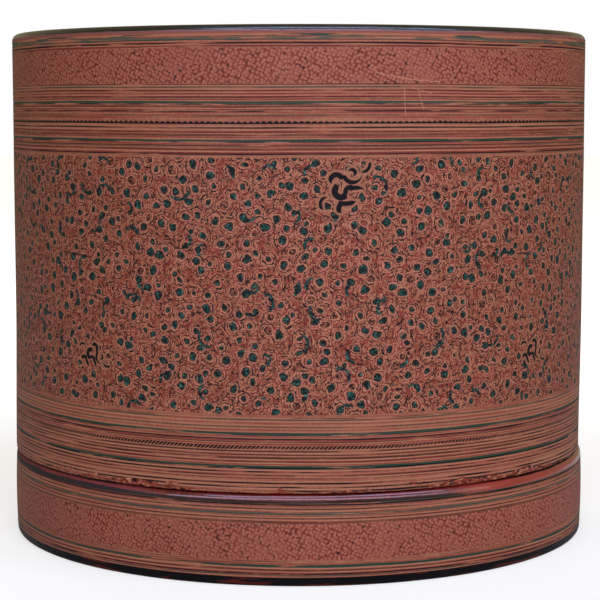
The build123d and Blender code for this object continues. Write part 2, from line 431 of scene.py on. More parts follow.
# Age: slow clouding, handled grime, fine scratches and a bloom of dust
def wearGroup():
    sheet, given, made = newGroup("wear", {"Place": Vector(), "Colour": "colour", "Amount": 1.0}, {
        "Colour": "Color", "Dull": "Float", "Relief": "Float"})
    place = given["Place"]
    cloud = sheet.noise(place, 0.016, 2.0, 0.55)
    mottle = sheet.noise(place, 0.3, 3.0, 0.65)["Fac"]
    shade = sheet.calc("ADD", 0.86, sheet.calc("ADD", sheet.calc("MULTIPLY", cloud["Fac"], 0.16),
                                               sheet.calc("MULTIPLY", mottle, 0.12)))
    tinted = sheet.mix(1.0, given["Colour"], sheet.joined(shade, shade, shade), "MULTIPLY")
    bent = sheet.vector("ADD", sheet.vector("MULTIPLY", place, (0.035, 0.035, 0.011)),
                        sheet.scaled(cloud["Color"], 0.8))
    crack = sheet.node("ShaderNodeTexVoronoi", {"Vector": bent, "Scale": 1.0}, feature="DISTANCE_TO_EDGE")
    chosen = sheet.ease(sheet.noise(place, 0.045, 3.0, 0.7)["Fac"], 0.6, 0.66)
    scratch = sheet.calc("MULTIPLY", sheet.ease(crack.outputs["Distance"], 0.005, 0.0015), chosen)
    scratch = sheet.calc("MULTIPLY", scratch, given["Amount"])
    sheet.plug(sheet.mix(sheet.calc("MULTIPLY", scratch, 0.45), tinted, paints["pale"]), made["Colour"])
    sheet.plug(sheet.calc("ADD", sheet.calc("MULTIPLY", mottle, 0.16), sheet.calc("MULTIPLY", scratch, 0.2)),
               made["Dull"])
    sheet.plug(sheet.calc("SUBTRACT", sheet.calc("MULTIPLY", mottle, 0.05), sheet.calc("MULTIPLY", scratch, 0.04)),
               made["Relief"])
    return sheet.tree


# A straight scratch from one place to another, with a ragged edge
def scratchGroup():
    sheet, given, made = newGroup("scratch", {
        "Across": 0.0, "Up": 0.0, "Rag": 0.5, "From": Vector(), "Run": Vector((1, 0, 0)), "Width": 0.3},
        {"Mask": "Float"})
    away = sheet.vector("SUBTRACT", sheet.joined(given["Across"], given["Up"]), given["From"])
    length = sheet.vector("DOT_PRODUCT", given["Run"], given["Run"])
    share = sheet.calc("DIVIDE", sheet.vector("DOT_PRODUCT", away, given["Run"]), length, clamp=True)
    off = sheet.vector("LENGTH", sheet.vector("SUBTRACT", away, sheet.scaled(given["Run"], share)))
    ragged = sheet.calc("ADD", off, sheet.calc("MULTIPLY", given["Rag"], given["Width"]))
    edge = sheet.calc("MULTIPLY", given["Width"], 1.05)
    sheet.plug(sheet.ease(ragged, edge, sheet.calc("MULTIPLY", edge, 0.55)), made["Mask"])
    return sheet.tree


groups = {
    "places": placesGroup(), "ringLine": ringLineGroup(), "fineLines": fineLinesGroup(),
    "humpLine": humpLineGroup(), "slantLine": slantLineGroup(), "scales": scalesGroup(),
    "dots": dotsGroup(), "hooks": hooksGroup(), "ticks": ticksGroup(), "scroll": scrollGroup(),
    "scratch": scratchGroup(), "wear": wearGroup(),
}
print("shared effects built:", len(groups))


# Lacquers

def newMaterial(name):
    material = bpy.data.materials.new(name)
    material.use_nodes = True
    tree = material.node_tree
    tree.nodes.clear()
    sheet = Sheet(tree)
    shader = sheet.node("ShaderNodeBsdfPrincipled")
    output = sheet.node("ShaderNodeOutputMaterial")
    tree.links.new(shader.outputs[0], output.inputs[0])
    return material, sheet, shader


# Age and gloss, the last step of every lacquer. Relief is in millimetres. grimeAndShade only dulls the gloss and thins
# the coat here; it adds no colour
def finish(sheet, shader, places, colour, relief, look, grimeAndShade=0.0):
    worn = sheet.group(groups["wear"], Place=places["Place"], Colour=colour, Amount=look["scratches"])
    sheet.plug(worn["Colour"], shader.inputs["Base Color"])
    rough = sheet.calc("ADD", sheet.calc("ADD", worn["Dull"], sheet.calc("MULTIPLY", grimeAndShade, 0.5)),
                       look["roughness"], clamp=True)
    sheet.plug(rough, shader.inputs["Roughness"])
    bump = sheet.node("ShaderNodeBump", {
        "Height": sheet.calc("ADD", relief, worn["Relief"]), "Distance": millimetre, "Strength": look["depth"]})
    sheet.plug(bump.outputs[0], shader.inputs["Normal"])
    shader.inputs["Specular IOR Level"].default_value = look["shine"]
    sheet.plug(sheet.calc("MULTIPLY", sheet.calc("SUBTRACT", 1.0, grimeAndShade), look["coat"]),
               shader.inputs["Coat Weight"])
    shader.inputs["Coat Roughness"].default_value = look["coatRoughness"]


# The ground that the engraving is cut in: two reds, wiped on by hand round the box
def lacquerGround(sheet, places, pale="salmon", deep="rose"):
    wiped = sheet.vector("MULTIPLY", places["Place"], (0.03, 0.03, 0.8))
    streak = sheet.noise(wiped, 1.0, 3.0, 0.6)["Fac"]
    speck = sheet.noise(places["Place"], 0.9, 2.0, 0.65)["Fac"]
    both = sheet.calc("ADD", sheet.calc("MULTIPLY", streak, 0.55), sheet.calc("MULTIPLY", speck, 0.45))
    return sheet.mix(sheet.ease(both, 0.38, 0.62), paints[pale], paints[deep])


def drawLines(sheet, places, along, colour, relief, lines):
    for middle, width, name, cover in lines:
        mask = sheet.group(groups["ringLine"], Height=along, Middle=middle, Width=width, Cover=cover,
                           Sway=places["Sway"], Swell=places["Swell"])["Mask"]
        colour = sheet.mix(mask, colour, paints[name])
        relief = sheet.calc("SUBTRACT", relief, sheet.calc("MULTIPLY", mask, 0.05))
    return colour, relief


def drawFineLines(sheet, places, along, colour, relief, bands, pitch):
    lines = sheet.group(groups["fineLines"], Height=along, Pitch=pitch, Sway=places["Sway"],
                        Swell=places["Swell"])
    tone = sheet.mix(sheet.ease(lines["Tone"], 0.3, 0.75), paints["crimson"], paints["brown"])
    tone = sheet.mix(sheet.ease(lines["Tone"], 0.8, 0.84), tone, paints["green"])
    inside = 0.0
    for low, high in bands:
        inside = sheet.calc("MAXIMUM", inside, sheet.within(along, low, high, 0.2))
    mask = sheet.calc("MULTIPLY", lines["Mask"], inside)
    colour = sheet.mix(sheet.calc("MULTIPLY", lines["Hair"], inside), colour, paints["red"])
    # Painted highlight: pale along the ridges between the fine lines
    colour = sheet.mix(sheet.calc("MULTIPLY", lines["RidgeHighlight"], inside), colour, paints["pale"])
    colour = sheet.mix(sheet.calc("MULTIPLY", mask, 0.92), colour, tone)
    return colour, sheet.calc("SUBTRACT", relief, sheet.calc("MULTIPLY", mask, 0.03))


def drawScales(sheet, places, across, along, colour, relief, low, high):
    scales = sheet.group(groups["scales"], Across=across, Up=along, Place=places["Place"])
    inside = sheet.within(along, low, high, 0.25)
    ground = sheet.mix(sheet.calc("MULTIPLY", scales["Gap"], 0.2), paints["scaleRed"], paints["deepRed"])
    scaled = sheet.mix(scales["Pale"], ground, paints["scale"])
    scaled = sheet.mix(sheet.calc("MULTIPLY", scales["Nick"], 0.85), scaled, paints["black"])
    relief = sheet.calc("ADD", relief, sheet.calc("MULTIPLY", sheet.calc("MULTIPLY", scales["Pale"], inside), 0.04))
    return sheet.mix(inside, colour, scaled), relief


def drawDots(sheet, places, across, up, colour, relief, inside):
    dots = sheet.group(groups["dots"], Across=across, Up=up, Place=places["Place"])
    hooks = sheet.group(groups["hooks"], Across=across, Up=up, Place=places["Place"])
    ticks = sheet.group(groups["ticks"], Across=across, Up=up, Place=places["Place"])
    darker = sheet.ease(ticks["Tone"], 0.3, 0.6)
    tickTone = sheet.mix(darker, paints["deepRed"], paints["black"])
    cutTone = sheet.mix(darker, paints["crimson"], paints["black"])
    mottle = sheet.noise(places["Place"], 0.62, 3.0, 0.7)
    redder = sheet.calc("MULTIPLY", sheet.ease(mottle["Fac"], 0.44, 0.58), 0.8)
    field = sheet.mix(redder, colour, paints["red"])
    grit = sheet.ease(sheet.noise(places["Place"], 1.55, 2.0, 0.6)["Fac"], 0.585, 0.64)
    field = sheet.mix(sheet.calc("MULTIPLY", grit, 0.8), field, paints["brown"])
    field = sheet.mix(sheet.calc("MULTIPLY", dots["Pale"], 0.85), field, paints["pink"])
    field = sheet.mix(sheet.calc("MULTIPLY", ticks["Tick"], sheet.ease(dots["Past"], 0.4, 0.8)), field, tickTone)
    field = sheet.mix(dots["Cut"], field, cutTone)
    fill = sheet.mix(dots["Glint"], paints["teal"], paints["blueTeal"])
    field = sheet.mix(sheet.calc("MAXIMUM", dots["Teal"], hooks["Teal"]), field, fill)
    ink = sheet.calc("MAXIMUM", dots["Ink"], hooks["Ink"])
    field = sheet.mix(sheet.calc("MULTIPLY", ink, 0.94), field, paints["black"])
    cut = sheet.calc("MAXIMUM", ink, dots["Cut"])
    relief = sheet.calc("SUBTRACT", relief, sheet.calc("MULTIPLY", sheet.calc("MULTIPLY", cut, inside), 0.04))
    return sheet.mix(inside, colour, field), relief


def drawScratches(sheet, places, colour, scratches):
    rag = sheet.noise(places["Place"], 0.7, 3.0, 0.7)["Fac"]
    for start, end, width, name in scratches:
        run = (end[0] - start[0], end[1] - start[1], 0)
        mask = sheet.group(groups["scratch"], Across=places["Around"], Up=places["Height"], Rag=rag,
                           From=(*start, 0), Run=run, Width=width)["Mask"]
        colour = sheet.mix(sheet.calc("MULTIPLY", mask, 0.8), colour, paints[name])
    return colour


# The scrolls stand in two rows, and each place asks only about the row that it is in
def drawScrolls(sheet, places, colour, relief, rows):
    upper, lower = rows
    high = sheet.calc("GREATER_THAN", places["Height"], (upper["height"] + lower["height"]) / 2)

    def pick(key, scale=1.0):
        return sheet.calc("MULTIPLY_ADD", high, (upper[key] - lower[key]) * scale, lower[key] * scale)

    shifted = sheet.calc("SUBTRACT", places["Around"], pick("turn", math.radians(1) * lidReach))
    apart = fullRound / upper["count"]
    across = sheet.calc("WRAP", shifted, apart / 2, -apart / 2)
    up = sheet.calc("SUBTRACT", places["Height"], pick("height"))
    leaning = sheet.node("ShaderNodeVectorRotate", {
        "Vector": sheet.joined(across, up), "Angle": pick("tilt", math.radians(1))}, rotation_type="Z_AXIS")
    leanAcross, leanUp, _ = sheet.parts(leaning.outputs[0])
    scroll = sheet.group(groups["scroll"], Across=leanAcross, Up=leanUp, Size=pick("size"))
    colour = sheet.mix(sheet.calc("MULTIPLY", scroll["Clear"], 0.75), colour, paints["salmon"])
    colour = sheet.mix(scroll["Ink"], colour, paints["black"])
    return colour, sheet.calc("SUBTRACT", relief, sheet.calc("MULTIPLY", scroll["Ink"], 0.06))


def look(roughness, scratches, depth, shine, coat, coatRoughness):
    return {"roughness": roughness, "scratches": scratches, "depth": depth, "shine": shine, "coat": coat,
            "coatRoughness": coatRoughness}


engravedLook = look(0.42, 1.0, 0.8, 0.15, 0.0, 0.3)
topLook = look(0.42, 1.0, 0.7, 0.2, 0.0, 0.1)
shoulderLook = look(0.14, 0.5, 0.7, 0.6, 0.7, 0.1)
polishedLook = look(0.13, 0.6, 0.6, 0.5, 0.3, 0.08)
ledgeLook = look(0.12, 0.6, 0.6, 0.5, 0.6, 0.06)
footLook = look(0.3, 0.6, 0.6, 0.12, 0.0, 0.1)
plainLook = look(0.34, 1.0, 0.7, 0.3, 0.1, 0.25)
bambooLook = look(0.6, 1.0, 0.7, 0.3, 0.0, 0.25)


upperBands = {
    "low": 145.7, "high": 187.0,
    "scales": (169.9, 181.9),
    "fine": [(146.2, 156.2), (158.6, 169.6), (182.2, 186.8)],
    "finePitch": 1.04,
    "lines": [
        (186.9, 0.8, "rose", 0.8), (186.0, 0.7, "green", 0.52), (185.3, 0.75, "greyGreen", 0.62), (184.8, 0.6, "greyGreen", 0.58),
        (184.4, 0.5, "green", 0.5), (183.3, 0.5, "black", 0.72), (182.2, 0.26, "deepRed", 0.8),
        (169.8, 0.32, "brown", 0.9), (167.6, 0.26, "deepRed", 0.8), (165.6, 0.30, "brown", 0.6),
        (163.9, 0.78, "green", 0.95), (163.3, 0.35, "black", 0.65), (162.4, 0.38, "deepRed", 0.95),
        (161.0, 0.45, "black", 0.68), (159.2, 0.30, "red", 0.9), (155.5, 0.45, "black", 0.8),
        (154.0, 0.34, "deepRed", 0.8), (152.9, 0.26, "brown", 0.7), (151.2, 0.78, "green", 0.9),
        (150.7, 0.35, "black", 0.7), (149.6, 0.38, "brown", 0.9), (148.5, 0.26, "deepRed", 0.8),
        (146.7, 0.45, "black", 0.8),
    ],
    "humps": 157.1, "strokePitch": 2.1,
    "scratches": [
        ((26, 173.6), (38, 171.4), 0.5, "pale"), ((38, 171.4), (49, 170.6), 0.45, "pale"),
        ((36, 168.5), (36.4, 159.5), 0.36, "pale"), ((41, 168), (43, 161.5), 0.36, "pale"),
        ((39, 168.6), (46, 166.8), 0.34, "pale"),
        ((-120, 166), (-118, 150), 0.35, "pale"), ((230, 176), (262, 172), 0.35, "pale"),
    ],
}

lowerBands = {
    "low": 36.5, "high": 58.6,
    "fine": [(37.0, 47.0), (48.6, 58.4)],
    "finePitch": 1.18,
    "lines": [
        (57.8, 0.26, "brown", 0.6), (52.4, 0.85, "green", 0.95), (51.9, 0.3, "black", 0.7),
        (50.6, 0.5, "black", 0.9), (49.6, 0.35, "brown", 0.8), (46.4, 0.4, "brown", 0.8),
        (45.2, 0.35, "deepRed", 0.8), (44.0, 0.4, "brown", 0.7), (42.8, 0.35, "deepRed", 0.8),
        (41.1, 1.0, "green", 0.95), (40.6, 0.55, "black", 0.8), (39.4, 0.45, "black", 0.6),
        (38.1, 0.4, "brown", 0.8),
    ],
    "slants": 47.8, "strokePitch": 1.45,
}

mouthBands = {
    "fine": [(32.5, 36.5)], "finePitch": 1.25,
    "lines": [(35.6, 0.42, "black", 0.6), (34.2, 0.45, "black", 0.7), (32.9, 0.6, "black", 0.56)],
    "wornBelow": 32.3, "wornSpans": [(-94, -38), (44, 104), (190, 250), (-300, -230)],
}

collarBands = {
    "scales": (9.3, 21.8),
    "fine": [(3.4, 8.6), (22.2, 28.8)],
    "finePitch": 1.05,
    "lines": [
        (28.3, 0.55, "black", 0.85), (26.9, 0.32, "brown", 0.7), (25.3, 0.7, "greyGreen", 0.7), (25.0, 0.3, "green", 0.75),
        (23.6, 0.28, "deepRed", 0.8), (22.1, 0.32, "brown", 0.85), (8.6, 0.24, "deepRed", 0.7),
        (7.1, 0.9, "green", 0.8), (5.5, 0.36, "deepRed", 0.9), (4.3, 0.4, "black", 0.6),
    ],
}

dotField = {
    "low": 58.6, "high": 145.7,
    "scrolls": [
        {"count": 4, "turn": 7.5, "height": 135.5, "size": 8.5, "tilt": 0},
        {"count": 4, "turn": -41, "height": 76.5, "size": 6.2, "tilt": 65},
    ],
    "scratches": [     # from and to (round the lid, height), width, colour
        ((-93, 111.4), (-79, 110.2), 0.9, "black"), ((3.5, 88), (6, 82), 0.5, "pale"),
        ((60, 96), (63, 71), 0.35, "pale"), ((-150, 120), (-141, 92), 0.4, "pale"),
        ((190, 104), (214, 101), 0.7, "black"),
    ],
}


trayBands = {
    "from": 129.0, "repeat": 26.0,         # both trays carry the same bands, counted up from each tray's seat
    "scales": (8.6, 16.4),
    "fine": [(3.2, 8.2), (16.8, 22.4)],
    "finePitch": 1.2,
    "lines": [
        (3.8, 0.5, "black", 0.9), (5.3, 0.9, "green", 0.95), (6.7, 0.45, "deepRed", 0.9),
        (8.4, 0.45, "brown", 0.9), (16.6, 0.45, "brown", 0.9), (18.2, 0.45, "deepRed", 0.9),
        (19.6, 0.9, "green", 0.95), (21.2, 0.5, "black", 0.85),
    ],
}


def bandedLacquer(name, settings):
    material, sheet, shader = newMaterial(name)
    places = sheet.group(groups["places"])
    around, along = places["Around"], places["Height"]
    if "repeat" in settings:
        along = sheet.calc("WRAP", sheet.calc("SUBTRACT", along, settings["from"]), settings["repeat"], 0.0)
    colour, relief = lacquerGround(sheet, places), 0.0
    colour, relief = drawFineLines(sheet, places, along, colour, relief, settings["fine"], settings["finePitch"])
    if "scales" in settings:
        colour, relief = drawScales(sheet, places, around, along, colour, relief, *settings["scales"])
    colour, relief = drawLines(sheet, places, along, colour, relief, settings["lines"])
    if "scratches" in settings:
        colour = drawScratches(sheet, places, colour, settings["scratches"])
    if "wornBelow" in settings:
        bite = sheet.noise(sheet.vector("MULTIPLY", places["Place"], (0.11, 0.11, 0.45)), 1.0, 5.0, 0.72)["Fac"]
        for begin, end in settings["wornSpans"]:
            bite = sheet.calc("ADD", bite, sheet.calc("MULTIPLY", sheet.within(around, begin, end, 10.0), 0.09))
        line = sheet.calc("SUBTRACT", along, sheet.calc("MULTIPLY", sheet.ease(bite, 0.5, 0.68), 2.6))
        bare = sheet.ease(line, settings["wornBelow"] + 0.15, settings["wornBelow"] - 0.15)
        flake = sheet.noise(sheet.vector("MULTIPLY", places["Place"], (0.5, 0.5, 1.1)), 1.0, 3.0, 0.65)["Fac"]
        undercoat = sheet.mix(sheet.ease(flake, 0.4, 0.46), paints["black"], paints["red"])
        undercoat = sheet.mix(sheet.ease(flake, 0.57, 0.6), undercoat, paints["pale"])
        colour = sheet.mix(bare, colour, undercoat)
    for row, strokes in (("humps", "humpLine"), ("slants", "slantLine")):
        if row in settings:
            mask = sheet.group(groups[strokes], Around=around, Height=along, Middle=settings[row],
                               Pitch=fullRound / round(fullRound / settings["strokePitch"]), Sway=places["Sway"], Swell=places["Swell"])["Mask"]
            colour = sheet.mix(mask, colour, paints["black"])
    finish(sheet, shader, places, colour, relief, engravedLook)
    return material


def dotFieldLacquer():
    material, sheet, shader = newMaterial("dotFieldLacquer")
    places = sheet.group(groups["places"])
    colour, relief = lacquerGround(sheet, places), 0.0
    inside = sheet.within(places["Height"], dotField["low"] + 0.3, dotField["high"] - 0.3, 0.3)
    colour, relief = drawDots(sheet, places, places["Around"], places["Height"], colour, relief, inside)
    colour, relief = drawScrolls(sheet, places, colour, relief, dotField["scrolls"])
    colour = drawScratches(sheet, places, colour, dotField["scratches"])
    finish(sheet, shader, places, colour, relief, engravedLook)
    return material


topRings = {
    "scales": (88.0, 99.5),
    "fine": [(72.0, 87.5), (100.0, 106.5), (9.0, 17.0)],
    "finePitch": 1.25,
    "lines": [
        (105.6, 0.9, "greyGreen", 0.8), (103.6, 0.45, "black", 0.8), (101.8, 0.9, "green", 0.8),
        (100.2, 0.4, "brown", 0.9), (87.4, 0.45, "black", 0.85), (85.4, 0.95, "green", 0.8),
        (83.6, 0.45, "deepRed", 0.9), (78.4, 0.5, "black", 0.8), (75.6, 1.0, "green", 0.8),
        (73.6, 0.45, "brown", 0.9), (16.6, 0.5, "black", 0.9), (14.8, 0.9, "green", 0.8),
        (12.0, 0.45, "deepRed", 0.9), (7.2, 0.8, "green", 0.8), (5.4, 0.5, "black", 0.9),
    ],
    "humps": 80.6, "fieldIn": 17.6, "fieldOut": 72.4,
}


def topLacquer():
    material, sheet, shader = newMaterial("topLacquer")
    places = sheet.group(groups["places"])
    along = places["Reach"]
    x, y, _ = sheet.parts(places["Place"])
    colour, relief = lacquerGround(sheet, places), 0.0
    colour, relief = drawFineLines(sheet, places, along, colour, relief, topRings["fine"], topRings["finePitch"])
    onScales = sheet.calc("MULTIPLY", places["Around"], 94 / lidReach)
    colour, relief = drawScales(sheet, places, onScales, along, colour, relief, *topRings["scales"])
    inside = sheet.within(along, topRings["fieldIn"], topRings["fieldOut"], 0.3)
    colour, relief = drawDots(sheet, places, x, y, colour, relief, inside)
    colour, relief = drawLines(sheet, places, along, colour, relief, topRings["lines"])
    onHumps = sheet.calc("MULTIPLY", places["Around"], topRings["humps"] / lidReach)
    humps = sheet.group(groups["humpLine"], Around=onHumps, Height=along, Middle=topRings["humps"],
                        Pitch=2 * math.pi * topRings["humps"] / 240, Sway=places["Sway"],
                        Swell=places["Swell"])["Mask"]
    colour = sheet.mix(humps, colour, paints["black"])
    colour = sheet.mix(sheet.ease(along, 109.2, 109.5), colour, paints["roseRing"])
    finish(sheet, shader, places, colour, relief, topLook)
    return material


# Black lacquer on the lid's rounded shoulder, with a thin rose line under it
def shoulderLacquer():
    material, sheet, shader = newMaterial("shoulderLacquer")
    places = sheet.group(groups["places"])
    brushed = sheet.noise(sheet.vector("MULTIPLY", places["Place"], (0.035, 0.035, 0.9)), 1.0, 4.0, 0.65)["Fac"]
    line = sheet.calc("ADD", places["Height"], sheet.calc("MULTIPLY", sheet.calc("SUBTRACT", brushed, 0.5), 1.2))
    tone = sheet.mix(sheet.ease(places["Swell"], 0.36, 0.5), paints["brown"], paints["roseRing"])
    colour = sheet.mix(sheet.ease(line, 187.95, 187.75), paints["black"], tone)
    finish(sheet, shader, places, colour, sheet.calc("MULTIPLY", brushed, 0.5), shoulderLook)
    return material


# Red lacquer on the ledge, black along its foot except where that has rubbed away, and painted shade in black along its
# top under the lid's edge
def ledgeLacquer():
    material, sheet, shader = newMaterial("ledgeLacquer")
    places = sheet.group(groups["places"])
    colour = lacquerGround(sheet, places, "crimson", "deepRed")
    worn = sheet.noise(sheet.vector("MULTIPLY", places["Place"], (0.03, 0.03, 0.6)), 1.0, 3.0, 0.6)["Fac"]
    line = sheet.calc("ADD", places["Height"], sheet.calc("MULTIPLY", sheet.calc("SUBTRACT", worn, 0.5), 1.6))
    # Painted shade: black along the top of the ledge, in the groove under the lid's edge
    grimeAndShade = sheet.ease(line, 31.3, 31.7)
    rubbed = sheet.within(places["Around"], 62.0, 200.0, 9.0)
    thick = sheet.within(places["Around"], -220.0, -56.0, 10.0)
    line = sheet.calc("SUBTRACT", line, sheet.calc("MULTIPLY", thick, 0.55))
    seam = sheet.ease(sheet.calc("ADD", line, sheet.calc("MULTIPLY", rubbed, 1.6)), 29.75, 29.45)
    colour = sheet.mix(sheet.calc("MULTIPLY", rubbed, 0.75), colour, paints["brightRed"])
    colour = sheet.mix(sheet.calc("MAXIMUM", grimeAndShade, sheet.calc("MULTIPLY", seam, 0.94)), colour, paints["black"])
    finish(sheet, shader, places, colour, sheet.calc("MULTIPLY", worn, 0.08), ledgeLook, thick)
    return material


# Black lacquer on the foot, worn through to red along its lower edge
def footLacquer():
    material, sheet, shader = newMaterial("footLacquer")
    places = sheet.group(groups["places"])
    worn = sheet.noise(sheet.vector("MULTIPLY", places["Place"], (0.04, 0.04, 0.5)), 1.0, 4.0, 0.65)["Fac"]
    low = sheet.ease(places["Height"], 2.4, 0.2)
    rub = sheet.ease(sheet.calc("ADD", worn, sheet.calc("MULTIPLY", low, 0.12)), 0.58, 0.66)
    colour = sheet.mix(rub, paints["black"], paints["deepRed"])
    finish(sheet, shader, places, colour, sheet.calc("MULTIPLY", worn, 0.12), footLook)
    return material


# Plain lacquer, brushed round the box over the ridges of the wound bamboo, and rubbed here and there
def plainLacquer(name, pale, deep, look, rubbed):
    material, sheet, shader = newMaterial(name)
    places = sheet.group(groups["places"])
    colour = lacquerGround(sheet, places, pale, deep)
    ridge = sheet.noise(sheet.vector("MULTIPLY", places["Place"], (0.004, 0.004, 0.3)), 1.0, 2.0)["Fac"]
    rub = sheet.ease(sheet.noise(places["Place"], 0.07, 5.0, 0.65)["Fac"], 0.6, 0.72)
    colour = sheet.mix(sheet.calc("MULTIPLY", rub, 0.6), colour, paints[rubbed])
    relief = sheet.calc("SUBTRACT", sheet.calc("MULTIPLY", ridge, 0.25), sheet.calc("MULTIPLY", rub, 0.04))
    finish(sheet, shader, places, colour, relief, look)
    return material


def bambooCore():
    material, sheet, shader = newMaterial("bambooCore")
    places = sheet.group(groups["places"])
    strand = sheet.noise(sheet.vector("MULTIPLY", places["Place"], (0.02, 0.02, 1.4)), 1.0, 3.0)["Fac"]
    colour = sheet.mix(strand, paints["bareBamboo"], paints["brown"])
    finish(sheet, shader, places, colour, sheet.calc("MULTIPLY", strand, 0.2), bambooLook)
    return material


materials = {
    "upper": bandedLacquer("upperBandsLacquer", upperBands),
    "field": dotFieldLacquer(),
    "lower": bandedLacquer("lowerBandsLacquer", lowerBands),
    "mouth": bandedLacquer("mouthLacquer", mouthBands),
    "collar": bandedLacquer("collarLacquer", collarBands),
    "top": topLacquer(),
    "shoulder": shoulderLacquer(),
    "tray": bandedLacquer("trayLacquer", trayBands),
    "ledge": ledgeLacquer(),
    "foot": footLacquer(),
    "red": plainLacquer("plainRedLacquer", "red", "deepRed", plainLook, "black"),
    "black": plainLacquer("blackLacquer", "black", "black", polishedLook, "deepRed"),
    "bamboo": bambooCore(),
}
print("lacquers mixed:", len(materials))


# Shapes

# A profile of (reach, height) pairs, spun once round the box's axis
def turnedMesh(profile, steps, closed=True):
    bm = bmesh.new()
    corners = [bm.verts.new((reach * millimetre, 0, height * millimetre)) for reach, height in profile]
    ends = corners[1:] + corners[:1] if closed else corners[1:]
    edges = [bm.edges.new(pair) for pair in zip(corners, ends)]
    bmesh.ops.spin(bm, geom=corners + edges, axis=(0, 0, 1), cent=(0, 0, 0), angle=2 * math.pi, steps=steps,
                   use_merge=True)
    bmesh.ops.remove_doubles(bm, verts=bm.verts, dist=1e-7)
    bmesh.ops.recalc_face_normals(bm, faces=bm.faces)
    return bm


# A hoop of rectangular section, with rings round both its sides at the given heights
def hoopMesh(bore, reach, low, high, steps, heights=()):
    rings = sorted(height for height in set(heights) if low + 0.1 < height < high - 0.1)
    outside = [(reach, height) for height in (low, *rings, high)]
    inside = [(bore, height) for height in (high, *reversed(rings), low)]
    return turnedMesh(outside + inside, steps)


# Rounds the ring edge at this reach and height
def roundEdge(bm, reach, height, size, segments):
    def there(vert):
        return (abs(vert.co.xy.length - reach * millimetre) < 2e-5 and abs(vert.co.z - height * millimetre) < 2e-5)
    ring = [edge for edge in bm.edges if all(there(vert) for vert in edge.verts)]
    bmesh.ops.bevel(bm, geom=ring, offset=size * millimetre, segments=segments, profile=0.5, affect="EDGES",
                    material=-1)


def evenly(low, high, spacing):
    count = max(round((high - low) / spacing), 1)
    return [low + (high - low) * step / count for step in range(1, count)]


# Outside and lining are two lacquers. The lining starts further in than liningReach, or faces down.
def pieceFrom(bm, name, body, finishNames, replaced, liningReach=0.0):
    for face in bm.faces:
        face.smooth = True
        middle = face.calc_center_median()
        hidden = middle.xy.length < liningReach * millimetre
        face.material_index = 1 if len(finishNames) > 1 and hidden and face.normal.z < 0.5 else 0
    mesh = bpy.data.meshes.new(name)
    bm.to_mesh(mesh)
    bm.free()
    mesh.set_sharp_from_angle(angle=math.radians(40))
    for finishName in finishNames:
        mesh.materials.append(materials[finishName])
    piece = bpy.data.objects.new(name, mesh)
    bpy.context.scene.collection.objects.link(piece)
    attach(piece, body)
    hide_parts(*replaced)
    return piece


def smoothly(value, low, high):
    share = min(max((value - low) / (high - low), 0), 1)
    return share * share * (3 - 2 * share)


def turnOf(place):
    return math.atan2(place.x, -place.y)


def shiftOut(vert, amount):
    out = Vector((vert.co.x, vert.co.y, 0))
    if out.length > 1e-6:
        vert.co += out.normalized() * amount * millimetre


# Lid: its wall strays a little from a true round, and leans towards its mouth

lidHand = {
    "lobes": [(2, 0.10, 0.6), (3, 0.07, 2.1), (5, 0.05, 4.0)],    # how many round, how deep, where they start
    "ripple": 0.06, "rippleSize": 26.0, "lean": 0.5,
}


def lidWander(place):
    turn = turnOf(place)
    stray = sum(size * math.sin(count * turn + start) for count, size, start in lidHand["lobes"])
    stray += lidHand["ripple"] * noise.noise(place / (lidHand["rippleSize"] * millimetre))
    lean = lidHand["lean"] * (1 - smoothly(place.z / millimetre, 32, 85))
    return stray - lean * math.sin(turn)


# The wide engraved lines are cut into the wall as well as painted on it
def lidWallPiece(name, settings, finishName, spacing):
    low, high = settings["low"], settings["high"]
    grooves = [line[0] for line in settings.get("lines", []) if line[1] > 0.7]
    heights = evenly(low, high, spacing) + [middle + shift for middle in grooves for shift in (-0.5, 0, 0.5)]
    bm = hoopMesh(107.0, 110.0, low, high, 360, heights)
    for vert in bm.verts:
        outer = vert.co.xy.length > 0.1085
        cut = outer and any(abs(vert.co.z / millimetre - middle) < 0.05 for middle in grooves)
        shiftOut(vert, lidWander(vert.co) - (0.09 if cut else 0.0))
    return pieceFrom(bm, name, "lid", [finishName, "red"], ["lid_wall"], 108.5)


lidTopShape = {"crown": 2.4, "edgeTop": 189.5, "wallTop": 185.9, "hoopBore": 103.8, "rounding": 2.4, "sag": 0.25,
               "low": 187.0, "shoulder": 107.6, "shoulderLow": 187.7}


def lidTop():
    shape = lidTopShape
    rings = [0, 8, 16, 24, 34, 44, 54, 64, 74, 84, 93, 101, 106, 107.4, 110]
    upper = [(reach, shape["edgeTop"] + shape["crown"] * (1 - (reach / 110) ** 2)) for reach in rings]
    lower = [(reach, shape["wallTop"] + shape["crown"] * (1 - (reach / shape["hoopBore"]) ** 2))
             for reach in (shape["hoopBore"], 80, 56, 32, 12, 0)]
    skirt = [(110, shape["low"]), (107, shape["low"]), (107, shape["wallTop"])]
    bm = turnedMesh(upper + skirt + lower, 360, closed=False)
    roundEdge(bm, 110, shape["edgeTop"], shape["rounding"], 8)
    for vert in bm.verts:
        reach = vert.co.xy.length / millimetre
        shiftOut(vert, lidWander(vert.co) * smoothly(reach, 60, 108))
        dip = 0.5 + 0.5 * noise.noise(vert.co * 22)
        vert.co.z -= shape["sag"] * dip * (1 - smoothly(reach, 70, 104)) * millimetre
    piece = pieceFrom(bm, "lid_top", "lid", ["top", "red", "shoulder"], ["lid_top_disc"], 107.05)
    for face in piece.data.polygons:
        if face.center.xy.length > shape["shoulder"] * millimetre and face.center.z > shape["shoulderLow"] * millimetre:
            face.material_index = 2
    return piece


# The lid's open edge, with the lacquer broken off along its outer corner
mouthShape = {
    "steps": 900, "chipDepth": 0.7, "chipRise": 1.3,
    "worn": [(-27, 12), (42, 20), (150, 25), (-120, 18)],      # where round the edge, and how far each way
}


